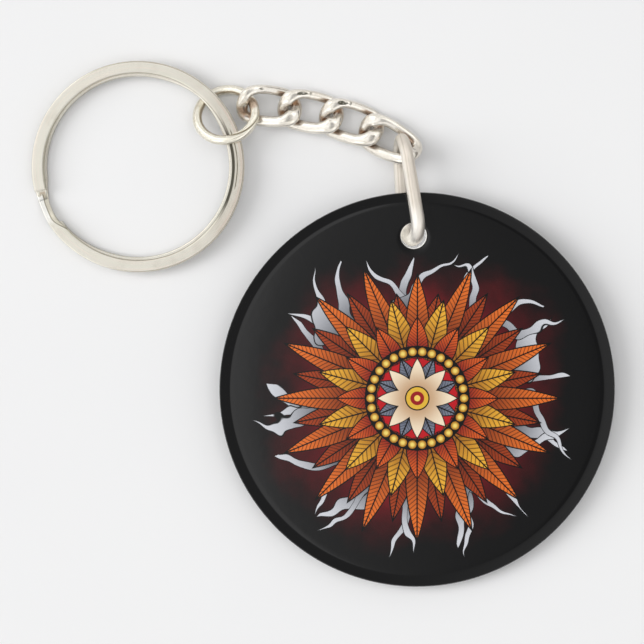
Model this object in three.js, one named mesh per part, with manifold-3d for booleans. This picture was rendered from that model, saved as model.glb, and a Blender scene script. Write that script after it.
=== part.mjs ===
// A keychain lying on a flat surface: a round black acrylic disc with a hole near its rim, an oval
// connector ring through the hole, four links of curb chain, a small jump ring and a split key ring.
// Millimetres, +Z up. +X runs from the key ring towards the disc, +Y towards the chain's side.
// The origin is the centre of the bounding box, on the surface that the keychain lies on.
import * as THREE from "three";
import { mergeVertices } from "three/addons/utils/BufferGeometryUtils.js";
import Module from "manifold-3d";

const wasm = await Module();
wasm.setup();

// Driving dimensions, in millimetres and degrees
// Acrylic disc: the rim rolls down to its wall over rimRollWidth, on both faces
const discDiameter = 50.8;
const discThickness = 3;
const rimRollWidth = 2;
const rimRollDrop = 0.4;
const holeDiameter = 3.3;
const holeInset = 5.55;
const holeBearing = 91.4;
const holeLip = 0.3;

// Connector ring: a long oval of round wire that stands on edge through the hole
const connectorWire = 1.84;
const connectorLength = 14.7;
const connectorPlay = 0.9;
const connectorHeading = 96.4;
const connectorLean = 13;
const connectorTwist = 15;

// Curb chain: the headings run from the key ring's link to the disc's link
const linkWire = 1.3;
const linkLengths = [8.2, 8.2, 8.2, 8.7];
const linkWidth = 5;
const linkFullness = 0.04;
const linkHeadings = [-5, -10.5, -17, -27];
const linkSeamBearing = 121;
const seamGap = 0.1;
// How much of its full rise a link's strand has where it lies across the connector, how far along
// from the link's middle to its joint that place is
const crossingRise = 0.9;
const crossingPlace = 0.6;

// Jump ring: round wire, tilted so that it passes under and over the key ring
const jumpWire = 1.15;
const jumpDiameter = 8.5;
const jumpUphillBearing = -73;
const jumpHookBearing = 5;
const jumpSeamBearing = 45;
const jumpSeamSlant = 50;

// Split key ring: a flat strip wound in almost two turns, the upper turn a little off the lower
const keyRingDiameter = 27.4;
const stripWidth = 1.55;
const stripThickness = 0.85;
const turnGap = 0.06;
const turnOffset = 0.45;
const keyRingBearing = 30.6;
const upperEndBearing = 195;
const riseEndBearing = 215;
const endGap = 0.25;
const stripCorner = 0.18;
// How far the strip lies from the jump ring's middle, towards the key ring's own middle
const stripInset = 0.2;

// Clearances where two pieces rest on or hook round each other
const holeGap = 0.15;
const discRestGap = 0.24;
const linkGap = 0.2;
const linkRiseGap = 0.27;
const bendGap = 0.02;
const strandGap = 0.1;
const overConnectorGap = 0.5;
const hookGap = 0.24;
const hookRise = 0.22;
const keyRingGap = 0.22;
const keyRingRestGap = 0.33;

// Facets
const discSegments = 72;
const rollSegments = 5;
const holeSegments = 24;
const wireSides = 10;
const linkSteps = 36;
const connectorSteps = 44;
const jumpSegments = 44;
const stripSteps = 96;

const rad = THREE.MathUtils.degToRad;

// A unit vector in the plane, at a bearing counted anticlockwise from +X
function bearing(degrees) {
  return new THREE.Vector3(Math.cos(rad(degrees)), Math.sin(rad(degrees)), 0);
}

// A curve given by a function from 0..1 to a point
class FunctionCurve extends THREE.Curve {
  constructor(pointOf) {
    super();
    this.pointOf = pointOf;
  }

  getPoint(t, target = new THREE.Vector3()) {
    return target.copy(this.pointOf(t));
  }
}

// The same, with the section's x kept upright all the way
class UprightCurve extends FunctionCurve {
  computeFrenetFrames(segments) {
    const tangents = [];
    const normals = [];
    const binormals = [];
    for (let i = 0; i <= segments; i++) {
      const tangent = this.getTangentAt(i / segments);
      const normal = new THREE.Vector3(0, 0, 1).addScaledVector(tangent, -tangent.z).normalize();
      tangents.push(tangent);
      normals.push(normal);
      binormals.push(tangent.clone().cross(normal));
    }
    return { tangents, normals, binormals };
  }
}

// The corner radius of a polygon that has as much area as a circle
function cornerRadius(diameter, sides) {
  const turn = (2 * Math.PI) / sides;
  return (diameter / 2) * Math.sqrt(turn / Math.sin(turn));
}

// A round section as a polygon
function roundSection(diameter) {
  const radius = cornerRadius(diameter, wireSides);
  const corners = [];
  for (let i = 0; i < wireSides; i++) {
    const angle = ((i + 0.5) / wireSides) * 2 * Math.PI;
    corners.push(new THREE.Vector2(Math.cos(angle), Math.sin(angle)).multiplyScalar(radius));
  }
  return new THREE.Shape(corners);
}

// A section carried along a curve, closed by a flat face at each end
function sweep(section, extrudePath, steps) {
  return new THREE.ExtrudeGeometry(section, { steps, extrudePath, bevelEnabled: false });
}

// A three.js geometry as a solid that can be cut
function solidOf(geometry) {
  const bare = geometry.clone();
  bare.deleteAttribute("normal");
  bare.deleteAttribute("uv");
  const merged = mergeVertices(bare, 1e-4);
  const vertProperties = new Float32Array(merged.attributes.position.array);
  const triVerts = new Uint32Array(merged.index.array);
  return new wasm.Manifold(new wasm.Mesh({ numProp: 3, vertProperties, triVerts }));
}

// A solid as a three.js geometry with flat faces
function geometryOf(solid) {
  const mesh = solid.getMesh();
  const geometry = new THREE.BufferGeometry();
  geometry.setAttribute("position", new THREE.BufferAttribute(new Float32Array(mesh.vertProperties), 3));
  geometry.setIndex(new THREE.BufferAttribute(new Uint32Array(mesh.triVerts), 1));
  const flat = geometry.toNonIndexed();
  flat.computeVertexNormals();
  return flat;
}

// Materials
const acrylic = new THREE.MeshStandardMaterial({ color: 0x1b1b1c, roughness: 0.25, metalness: 0 });
const nickel = new THREE.MeshStandardMaterial({ color: 0xd9d5c9, roughness: 0.22, metalness: 1 });

// Acrylic disc
const discRadius = discDiameter / 2;
const discFlatRadius = discRadius - rimRollWidth;
const holeCentre = bearing(holeBearing).multiplyScalar(discRadius - holeInset);

// The outline from the underside's middle out to the rim and back over the top, to be turned round Z
function discProfile() {
  const outline = [new THREE.Vector2(0, 0)];
  for (let i = 0; i <= rollSegments; i++) {
    const turn = (i / rollSegments) * (Math.PI / 2);
    outline.push(
      new THREE.Vector2(
        discFlatRadius + rimRollWidth * Math.sin(turn),
        rimRollDrop * (1 - Math.cos(turn)),
      ),
    );
  }
  const topSide = outline
    .map((corner) => new THREE.Vector2(corner.x, discThickness - corner.y))
    .reverse();
  return [...outline, ...topSide];
}

// The drill that makes the hole: a cylinder that widens to the lip at both faces
function holeProfile() {
  const radius = holeDiameter / 2;
  return [
    new THREE.Vector2(0, -1),
    new THREE.Vector2(radius + holeLip, -1),
    new THREE.Vector2(radius + holeLip, 0),
    new THREE.Vector2(radius, holeLip),
    new THREE.Vector2(radius, discThickness - holeLip),
    new THREE.Vector2(radius + holeLip, discThickness),
    new THREE.Vector2(radius + holeLip, discThickness + 1),
    new THREE.Vector2(0, discThickness + 1),
  ];
}

function discGeometry() {
  const body = new THREE.LatheGeometry(discProfile(), discSegments);
  const drill = new THREE.LatheGeometry(holeProfile(), holeSegments);
  body.rotateX(Math.PI / 2);
  drill.rotateX(Math.PI / 2);
  drill.translate(holeCentre.x, holeCentre.y, 0);
  return geometryOf(solidOf(body).subtract(solidOf(drill)));
}

// Connector ring
const connectorRadius = connectorWire / 2;
const connectorHalfHeight = (discThickness + connectorPlay + connectorWire) / 2;
const connectorHalfRun = connectorLength / 2 - connectorRadius - connectorHalfHeight;

// The lean from upright at a distance from the ring's middle, positive towards the chain
function connectorLeanAt(along) {
  return rad(connectorLean - (connectorTwist * along) / connectorLength);
}

// The centreline: two straight strands joined by half circles, in a frame with x along the ring and
// z up. It starts in the middle of the lower strand and leans sideways as connectorLeanAt says.
function connectorPoint(t) {
  const bend = Math.PI * connectorHalfHeight;
  const run = 2 * connectorHalfRun;
  const whole = 2 * (bend + run);
  const start = seamGap / 2;
  const travel = start + t * (whole - seamGap);
  const place = new THREE.Vector3();
  if (travel <= run / 2) {
    place.set(travel, 0, -connectorHalfHeight);
  } else if (travel <= run / 2 + bend) {
    const turn = (travel - run / 2) / connectorHalfHeight;
    place.set(run / 2 + connectorHalfHeight * Math.sin(turn), 0, -connectorHalfHeight * Math.cos(turn));
  } else if (travel <= (3 * run) / 2 + bend) {
    place.set(run + bend - travel, 0, connectorHalfHeight);
  } else if (travel <= (3 * run) / 2 + 2 * bend) {
    const turn = (travel - (3 * run) / 2 - bend) / connectorHalfHeight;
    place.set(-run / 2 - connectorHalfHeight * Math.sin(turn), 0, connectorHalfHeight * Math.cos(turn));
  } else {
    place.set(travel - whole, 0, -connectorHalfHeight);
  }
  const lean = connectorLeanAt(place.x);
  return new THREE.Vector3(place.x, -place.z * Math.sin(lean), place.z * Math.cos(lean));
}

// The wire goes through the hole pressed towards the disc's middle
const connectorReach = connectorLength / 2 - connectorRadius;
const connectorSlack = holeDiameter / 2 - connectorRadius - holeGap;
const connectorCentre = holeCentre
  .clone()
  .addScaledVector(bearing(connectorHeading), connectorReach - connectorSlack)
  .setZ(connectorRadius + connectorHalfHeight);

// The disc rests on the connector's lower strand where that bends up beside the hole, and on its
// own far edge
const holeRimSide = discRadius - holeInset + holeDiameter / 2;
const edgeInBend = connectorReach - connectorSlack - holeDiameter / 2 - connectorHalfRun;
const bendDrop = Math.sqrt(connectorHalfHeight ** 2 - edgeInBend ** 2);
const bendTop =
  connectorCentre.z - bendDrop * Math.cos(connectorLeanAt(-connectorHalfRun)) + connectorRadius;
const discTilt = Math.asin((bendTop + discRestGap) / (discFlatRadius + holeRimSide));
const discLift = discFlatRadius * Math.sin(discTilt);

// Curb links: an oval whose upper left and lower right quarters stand high and the others low
const linkRadius = linkWire / 2;
const linkHalfLengths = linkLengths.map((length) => length / 2 - linkRadius);
const linkHalfWidth = linkWidth / 2 - linkRadius;
// From a link's middle to where it meets its neighbour, with the clearance shared between the two
const linkReaches = linkHalfLengths.map((half) => half - (linkWire + linkGap) / 2);
const crossingAngle = Math.acos(linkReaches[0] / linkHalfLengths[0]);
const linkRise = (linkWire + linkRiseGap) / 2 / Math.sin(2 * crossingAngle);

function linkCurve(halfLength) {
  const girth = Math.PI * (halfLength + linkHalfWidth);
  const full = 1 - linkFullness;
  return function (t) {
    const turn = seamGap / 2 / girth + t * (1 - seamGap / girth);
    const angle = rad(linkSeamBearing) + 2 * Math.PI * turn;
    return new THREE.Vector3(
      (halfLength * (Math.cos(angle) - linkFullness * Math.cos(3 * angle))) / full,
      (linkHalfWidth * (Math.sin(angle) + linkFullness * Math.sin(3 * angle))) / full,
      -linkRise * Math.sin(2 * angle),
    );
  };
}

// The height of a link's middle where it lies flat on the surface
const linkLow = linkRise + linkRadius;

// Where the connector's far bend stands in the window of the disc's link, from that link's middle
const lastLink = linkLengths.length - 1;
const bendInLinkX = linkReaches[lastLink] - linkRadius - connectorRadius - bendGap;
const bendInLinkY = linkWidth / 2 - linkWire - connectorRadius + strandGap;

// The disc's link lies with its raised right strand across the connector's lower strand, where that
// starts to bend up
const strandFromBend =
  (crossingRise * linkHalfWidth + bendInLinkY) /
  Math.cos(rad(connectorHeading - 90 - linkHeadings[lastLink]));
const strandInBend = Math.max(0, connectorHalfHeight - strandFromBend);
const bendRise = connectorHalfHeight - Math.sqrt(connectorHalfHeight ** 2 - strandInBend ** 2);
const linkOverConnector =
  connectorWire + bendRise + overConnectorGap + linkRadius - crossingRise * linkRise;
const discJoint =
  (2 * linkOverConnector - linkLow * (1 - crossingPlace)) / (1 + crossingPlace);

// Jump ring
const jumpRadius = jumpWire / 2;
const jumpHoop = jumpDiameter / 2 - jumpRadius;
const keyRingThickness = 2 * stripThickness + turnGap;
const crossingBearing = keyRingBearing + 90 - jumpUphillBearing;
const jumpTilt = Math.asin(
  (keyRingThickness / 2 + jumpRadius + keyRingGap) / (jumpHoop * -Math.cos(rad(crossingBearing))),
);
const jumpLift = jumpHoop * Math.sin(jumpTilt) + jumpRadius;

// Directions in the jump ring's plane: level, and straight uphill
const jumpLevel = bearing(jumpUphillBearing + 90);
const jumpUphill = bearing(jumpUphillBearing)
  .multiplyScalar(Math.cos(jumpTilt))
  .setZ(Math.sin(jumpTilt));
const jumpNormal = jumpLevel.clone().cross(jumpUphill);

// From the jump ring's middle to its centreline, at a bearing counted from its level direction
function jumpOffset(degrees) {
  return new THREE.Vector3()
    .addScaledVector(jumpLevel, jumpHoop * Math.cos(rad(degrees)))
    .addScaledVector(jumpUphill, -jumpHoop * Math.sin(rad(degrees)));
}

function jumpGeometry() {
  const hoop = new THREE.TorusGeometry(
    jumpHoop,
    cornerRadius(jumpWire, wireSides),
    wireSides,
    jumpSegments,
  );
  const slit = new THREE.BoxGeometry(seamGap, 2.5 * jumpWire, 2 * jumpWire);
  slit.rotateZ(rad(jumpSeamSlant));
  slit.translate(jumpHoop, 0, 0);
  slit.rotateZ(rad(jumpSeamBearing));
  return geometryOf(solidOf(hoop).subtract(solidOf(slit)));
}

// Split key ring: one turn low, a short rise, and one turn high, in the ring's own flat frame
const keyRingHoop = (keyRingDiameter - stripWidth) / 2;

function stripPoint(t) {
  const endTurn = (endGap / keyRingHoop) * (180 / Math.PI);
  const first = riseEndBearing - 360;
  const last = upperEndBearing + 360 - endTurn;
  const degrees = first + t * (last - first);
  const rise = THREE.MathUtils.smoothstep(degrees, upperEndBearing, riseEndBearing - endTurn);
  const centre = turnOffset * (0.5 - rise);
  return new THREE.Vector3(
    centre + keyRingHoop * Math.cos(rad(degrees)),
    keyRingHoop * Math.sin(rad(degrees)),
    stripThickness / 2 + rise * (stripThickness + turnGap),
  );
}

// A flat strip's section with its corners taken off: its thickness along x, its width along y
function stripSection() {
  const x = stripThickness / 2;
  const y = stripWidth / 2;
  return new THREE.Shape([
    new THREE.Vector2(x, y - stripCorner),
    new THREE.Vector2(x - stripCorner, y),
    new THREE.Vector2(stripCorner - x, y),
    new THREE.Vector2(-x, y - stripCorner),
    new THREE.Vector2(-x, stripCorner - y),
    new THREE.Vector2(stripCorner - x, -y),
    new THREE.Vector2(x - stripCorner, -y),
    new THREE.Vector2(x, stripCorner - y),
  ]);
}

// Placing the chain, from the disc outwards
// The connector's far bend stands inside the window of the disc's link
const connectorEnd = connectorCentre
  .clone()
  .addScaledVector(bearing(connectorHeading), connectorReach);

// Heights of the joints from the key ring's side to the disc's side
const jumpHook = jumpOffset(jumpHookBearing);
const jointHeights = [jumpLift + jumpHook.z + hookRise, linkLow, linkLow, linkLow, discJoint];

// A link's frame from its middle, its heading and the heights of its two ends
function linkFrame(middle, heading, reach, leftHeight, rightHeight) {
  const pitch = Math.asin((leftHeight - rightHeight) / (2 * reach));
  const frame = new THREE.Group();
  frame.position.copy(middle).setZ((leftHeight + rightHeight) / 2);
  frame.rotation.set(0, pitch, rad(heading), "ZYX");
  return frame;
}

const linkMiddles = [];
linkMiddles[lastLink] = connectorEnd
  .clone()
  .addScaledVector(bearing(linkHeadings[lastLink]), -bendInLinkX)
  .addScaledVector(bearing(linkHeadings[lastLink] + 90), -bendInLinkY);
for (let i = lastLink - 1; i >= 0; i--) {
  linkMiddles[i] = linkMiddles[i + 1]
    .clone()
    .addScaledVector(bearing(linkHeadings[i + 1]), -linkReaches[i + 1])
    .addScaledVector(bearing(linkHeadings[i]), -linkReaches[i]);
}

// The jump ring hooks into the first link's left bow
const hookPoint = linkMiddles[0]
  .clone()
  .addScaledVector(
    bearing(linkHeadings[0]),
    linkRadius + jumpRadius + hookGap - linkHalfLengths[0],
  );
const jumpCentre = hookPoint.sub(jumpHook).setZ(jumpLift);

// The key ring's strip passes through the jump ring, over its low side and under its high side
const keyRingCentre = jumpCentre
  .clone()
  .addScaledVector(bearing(keyRingBearing), -keyRingHoop - stripInset)
  .setZ(0);
const lowCrossing = jumpLift + jumpHoop * Math.sin(jumpTilt) * Math.cos(rad(crossingBearing));
const keyRingTilt = Math.asin(
  (lowCrossing + jumpRadius + keyRingRestGap) / (keyRingDiameter / 2 + keyRingHoop),
);
keyRingCentre.setZ((keyRingDiameter / 2) * Math.sin(keyRingTilt));

// The parts
const keychain = new THREE.Group();

function addMesh(name, geometry, material, parent) {
  const mesh = new THREE.Mesh(geometry, material);
  mesh.name = name;
  parent.add(mesh);
  return mesh;
}

const discFrame = new THREE.Group();
discFrame.position.set(0, 0, discLift);
discFrame.rotation.x = discTilt;
addMesh("acrylic_disc", discGeometry(), acrylic, discFrame);

const connectorFrame = new THREE.Group();
connectorFrame.position.copy(connectorCentre);
connectorFrame.rotation.z = rad(connectorHeading);
addMesh(
  "connector_ring",
  sweep(roundSection(connectorWire), new FunctionCurve(connectorPoint), connectorSteps),
  nickel,
  connectorFrame,
);
keychain.add(discFrame, connectorFrame);

for (let i = 0; i <= lastLink; i++) {
  const path = new FunctionCurve(linkCurve(linkHalfLengths[i]));
  const wire = sweep(roundSection(linkWire), path, linkSteps);
  const frame = linkFrame(
    linkMiddles[i],
    linkHeadings[i],
    linkReaches[i],
    jointHeights[i],
    jointHeights[i + 1],
  );
  addMesh(`chain_link_${i + 1}`, wire, nickel, frame);
  keychain.add(frame);
}

const jumpFrame = new THREE.Group();
const jumpBasis = new THREE.Matrix4().makeBasis(jumpLevel, jumpUphill, jumpNormal);
jumpFrame.quaternion.setFromRotationMatrix(jumpBasis);
jumpFrame.position.copy(jumpCentre);
addMesh("jump_ring", jumpGeometry(), nickel, jumpFrame);

const keyRingFrame = new THREE.Group();
keyRingFrame.quaternion.setFromAxisAngle(bearing(keyRingBearing - 90), keyRingTilt);
keyRingFrame.position.copy(keyRingCentre);
addMesh(
  "split_ring",
  sweep(stripSection(), new UprightCurve(stripPoint), stripSteps),
  nickel,
  keyRingFrame,
);
keychain.add(jumpFrame, keyRingFrame);

// The bounding box's centre goes over the origin, and its underside on z = 0
keychain.updateMatrixWorld(true);
const box = new THREE.Box3().setFromObject(keychain, true);
const middle = box.getCenter(new THREE.Vector3());
keychain.position.set(-middle.x, -middle.y, -box.min.z);

export default keychain;
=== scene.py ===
"""A keychain lying on a pale floor: a black acrylic disc with a printed rosette, an oval connector ring,
a short curb chain, a jump ring and a split key ring. Shapes are worked out in millimetres in each
piece's own frame, then turned and moved to their places, in metres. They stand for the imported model's
pieces and follow the photograph a little more closely."""

import math

import bpy
import numpy as np
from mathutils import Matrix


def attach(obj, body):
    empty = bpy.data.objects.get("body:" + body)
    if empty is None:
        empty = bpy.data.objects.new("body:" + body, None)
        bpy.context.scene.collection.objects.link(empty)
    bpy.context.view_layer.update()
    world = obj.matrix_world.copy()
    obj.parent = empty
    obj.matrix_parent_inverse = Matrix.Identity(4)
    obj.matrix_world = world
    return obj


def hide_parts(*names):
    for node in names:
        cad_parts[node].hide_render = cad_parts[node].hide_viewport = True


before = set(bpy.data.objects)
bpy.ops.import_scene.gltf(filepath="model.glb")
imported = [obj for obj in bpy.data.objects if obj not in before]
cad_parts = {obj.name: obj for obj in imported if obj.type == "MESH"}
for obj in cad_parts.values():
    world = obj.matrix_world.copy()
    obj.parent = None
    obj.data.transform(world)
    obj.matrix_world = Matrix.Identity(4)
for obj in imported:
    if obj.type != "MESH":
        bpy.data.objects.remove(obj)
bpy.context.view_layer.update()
MM = 0.001

# Sizes are in millimetres and places round a piece in degrees. Some differ a little from the packed
# model's, to follow the photograph.
# Disc: the rim falls away over RIM_ROLL, and its outermost RIM_EDGE is a quarter ellipse
DISC_RADIUS = 25.4
DISC_THICKNESS = 3.0
DOME_START = 19.9
DOME = 0.003
RIM_ROLL = 1.65
RIM_EDGE = 0.4
RIM_ONSET = 0.15
RIM_SLOPE = 0.27
RIM_DROP = 0.66
HOLE_RADIUS = 1.65
HOLE_LIP = 0.2
HOLE_DISTANCE = 19.85
HOLE_BEARING = 91.4
HOLE_PLACE = HOLE_DISTANCE * np.array(
    [math.cos(math.radians(HOLE_BEARING)), math.sin(math.radians(HOLE_BEARING))]
)
# The strength of the light that the hole's wall and the underside round it give off
CLEAR_GLOW = 0.9
# How far below the disc's middle the print's middle is
PRINT_SHIFT = 1.0

# Connector: CONNECTOR_SEAM is how far along the wire its seam is from the lower strand's middle
CONNECTOR_WIRE = 1.84
CONNECTOR_THIN_WIRE = 1.66
CONNECTOR_SEAM = -1.7
CONNECTOR_LENGTH = 14.7
CONNECTOR_PLAY = 0.9
CONNECTOR_HALF_HEIGHT = (DISC_THICKNESS + CONNECTOR_PLAY + CONNECTOR_WIRE) / 2
CONNECTOR_LEAN = 13.0
CONNECTOR_TWIST = 15.0

LINK_WIRE = 1.3
LINK_WIDTH = 5.0
LINK_FULLNESS = 0.04
LINK_RISE = 0.8056
BOW_WIDTH = 1.48
# How much higher a link's centreline goes before its strands are pressed flat
LINK_LIFT = 0.1
# Where round a link its wire may swell, and how far to both sides
SWELL_PLACES = [138.0, 318.0, 12.0, 190.0]
SWELL_REACH = 36

# How strong the painted shade is in each link's left and right bend
LINK_CROOK_SHADES = [(0.8, 1.0), (1.0, 1.0), (1.0, 1.0), (1.0, 0.0)]
# Dents of each link: where along it, where across it, its half lengths and how dark
LINK_MARKS = [
    [(112.0, 0.1, 5.0, 0.3, 0.8), (346.0, -0.25, 3.0, 0.2, 0.7)],
    [(112.0, 0.1, 11.0, 0.4, 0.95), (98.0, 0.2, 2.5, 0.5, 0.6), (345.0, -0.2, 6.0, 0.12, 0.5)],
    [(118.0, 0.1, 10.0, 0.45, 1.0), (104.0, 0.2, 3.0, 0.5, 0.7), (326.0, 0.0, 4.0, 0.22, 0.6)],
    [(16.0, -0.3, 9.0, 0.16, 1.0), (358.0, -0.1, 3.0, 0.4, 0.8)],
]

JUMP_WIRE = 1.22
JUMP_DIAMETER = 8.75
# Where the jump ring's seam starts and how long its two ends lie side by side
JUMP_SEAM = -100.0
JUMP_LAP = 78.0
# The point, in metres, where link 1 lies over the jump ring, round which the jump ring is painted brown as
# shade
JUMP_SHADE_SPOT = (-0.0091, 0.0285, 0.003)

# Split ring: the middle and the radii of each turn's ellipse. The upper turn ends at UPPER_END, and
# the step up from the lower turn ends at RISE_END
LOW_TURN = np.array([[-0.245, 0.09], [12.585, 12.43]])
HIGH_TURN = np.array([[-0.15, 0.08], [12.97, 12.82]])
STRIP_WIDTH = 1.6
STRIP_THICKNESS = 0.85
TURN_GAP = 0.06
UPPER_END = 195.0
RISE_END = 215.0
STEP_LEAN = 12.0
STEP_NECK = 0.2

# Where each piece's own frame lies: turns about X, Y and Z, one after the other, then a move
DISC_PLACE = dict(turns=[("x", 2.897)], move=(12.1541, -8.397, 1.21))
CONNECTOR_PLACE = dict(turns=[("z", 96.4)], move=(10.85, 17.2601, 3.8029))
LINK_PLACES = [
    dict(turns=[("y", 9.728), ("z", -5.0)], move=(-6.8758, 28.0664, 1.968)),
    dict(turns=[("z", -10.5)], move=(-1.5313, 27.339, 1.4685)),
    dict(turns=[("z", -17.0)], move=(3.78, 26.0376, 1.4685)),
    dict(turns=[("y", -10.254), ("z", -28.2)], move=(8.72, 23.73, 2.013)),
]
# Each link's length, seam, widths and outward shifts of its two strands, swells and taper
LINK_LENGTHS = [8.6, 8.7, 8.7, 8.85]
LINK_SEAMS = [36.0, 36.0, 36.0, 214.0]
LINK_FAR = [(1.2, 0.2), (1.16, 0.24), (1.12, 0.18), (1.26, -0.05)]
LINK_NEAR = [(1.46, 0.2), (1.5, 0.22), (1.46, 0.32), (1.4, 0.2)]
LINK_SWELLS = [(0.1, 0.5, 0.0, 0.1), (0.5, 0.5, 0.0, 0.0), (0.5, 0.5, 0.0, 0.0), (0.5, 0.0, 0.5, 0.0)]
LINK_TAPERS = [0.0, 0.0, 0.0, 0.034]
JUMP_PLACE = dict(turns=[("x", -27.96), ("z", 17.0)], move=(-12.43, 26.93, 2.4))
KEY_RING_PLACE = dict(turns=[("z", 59.4), ("x", 3.289), ("z", -59.4)], move=(-23.5688, 20.2173, 0.7993))


# Shapes


def placed(points, turns, move):
    """Turns points about the axes in the order given, moves them, and gives metres."""
    for axis, degrees in turns:
        c, s = math.cos(math.radians(degrees)), math.sin(math.radians(degrees))
        turn = {
            "x": [[1, 0, 0], [0, c, -s], [0, s, c]],
            "y": [[c, 0, s], [0, 1, 0], [-s, 0, c]],
            "z": [[c, -s, 0], [s, c, 0], [0, 0, 1]],
        }[axis]
        points = points @ np.array(turn).T
    return (points + np.array(move)) * MM


def piece(name, points, corners, smooth=True):
    """A mesh object from points (n, 3) and faces given as a list of index arrays, turned to face outwards."""
    points = np.asarray(points, float)
    volume = 0.0
    for faces in corners:
        for k in range(1, faces.shape[1] - 1):
            a, b, c = points[faces[:, 0]], points[faces[:, k]], points[faces[:, k + 1]]
            volume += np.einsum("ij,ij->i", a, np.cross(b, c)).sum()
    if volume < 0:
        corners = [faces[:, ::-1] for faces in corners]
    loops = np.concatenate([faces.ravel() for faces in corners])
    sizes = np.concatenate([np.full(len(faces), faces.shape[1]) for faces in corners])
    mesh = bpy.data.meshes.new(name)
    mesh.vertices.add(len(points))
    mesh.vertices.foreach_set("co", points.astype(np.float32).ravel())
    mesh.loops.add(len(loops))
    mesh.loops.foreach_set("vertex_index", loops.astype(np.int32))
    mesh.polygons.add(len(sizes))
    mesh.polygons.foreach_set("loop_start", (np.cumsum(sizes) - sizes).astype(np.int32))
    mesh.polygons.foreach_set("use_smooth", np.full(len(sizes), smooth))
    mesh.update(calc_edges=True)
    mesh.validate()
    made = bpy.data.objects.new(name, mesh)
    bpy.context.collection.objects.link(made)
    return made


def quads(rows, columns, loop_rows=False):
    """Faces of a grid of rows by columns points whose columns close round, and its rows too if asked."""
    r = np.arange(rows if loop_rows else rows - 1)[:, None]
    c = np.arange(columns)[None, :]
    nr, nc = (r + 1) % rows, (c + 1) % columns
    a, b = r * columns + c, r * columns + nc
    d, e = nr * columns + nc, nr * columns + c
    return np.stack([a, b, d, e], -1).reshape(-1, 4)


def carried(path, across, side, up):
    """A section carried along a path: row i's points are path[i] + side * B + up * N, where N is the
    direction `across` made square to the path, and B is the path's direction crossed with N."""
    ahead = np.gradient(path, axis=0)
    ahead /= np.linalg.norm(ahead, axis=1, keepdims=True)
    n = across - (ahead @ across)[:, None] * ahead
    n /= np.linalg.norm(n, axis=1, keepdims=True)
    b = np.cross(ahead, n)
    return path[:, None] + side[..., None] * b[:, None] + up[..., None] * n[:, None]


def capped(name, grid, place, **traits):
    """A tube piece from its rows of points, with a fan of faces over each end. Each trait is a number for
    every point of the grid, kept on the mesh for its finish to read."""
    rows, columns = grid.shape[:2]
    ends = np.stack([grid[0].mean(0), grid[-1].mean(0)])
    points = np.concatenate([grid.reshape(-1, 3), ends])
    c = np.arange(columns)
    nc = (c + 1) % columns
    first, last = rows * columns, rows * columns + 1
    low = np.stack([np.full(columns, first), nc, c], -1)
    base = (rows - 1) * columns
    high = np.stack([np.full(columns, last), base + c, base + nc], -1)
    made = piece(name, placed(points, **place), [quads(rows, columns), low, high])
    for trait, values in traits.items():
        values = np.broadcast_to(values, (rows, columns)).astype(np.float32)
        values = np.concatenate([values.ravel(), [values[0].mean(), values[-1].mean()]])
        made.data.attributes.new(trait, "FLOAT", "POINT").data.foreach_set("value", values.astype(np.float32))
    return made


def steps_with_ends(count, length, bevel):
    """Shares 0..1 of a path of that length, with extra steps over the bevel at both ends."""
    edge = np.array([0, 0.15, 0.4, 0.7, 1.0]) * bevel / length
    inner = np.linspace(edge[-1], 1 - edge[-1], count)[1:-1]
    return np.concatenate([edge, inner, 1 - edge[::-1]])


def end_scale(shares, length, bevel, least):
    """How much a section shrinks towards both ends: from `least` at the end to 1 at the bevel's far edge,
    along a quarter circle."""
    near = np.minimum(shares, 1 - shares) * length / bevel
    return least + (1 - least) * np.sqrt(1 - (1 - np.clip(near, 0, 1)) ** 2)


def smooth(share):
    """0 below 0, 1 above 1, and s^2 (3 - 2 s) between."""
    share = np.clip(share, 0, 1)
    return share * share * (3 - 2 * share)


def oval(count, power=2.0):
    """A closed section of unit radius: |x|^power + |y|^power = 1, by its angle."""
    angle = np.arange(count) / count * 2 * np.pi
    x, y = np.cos(angle), np.sin(angle)
    return (
        np.sign(x) * np.abs(x) ** (2 / power),
        np.sign(y) * np.abs(y) ** (2 / power),
    )


def soft_cap(height, top, edge):
    """The smaller of height and top, rounded over where they meet:
    top - edge * log(1 + e^((top - height) / edge))."""
    return top - edge * np.logaddexp(0, (top - height) / edge)


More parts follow.
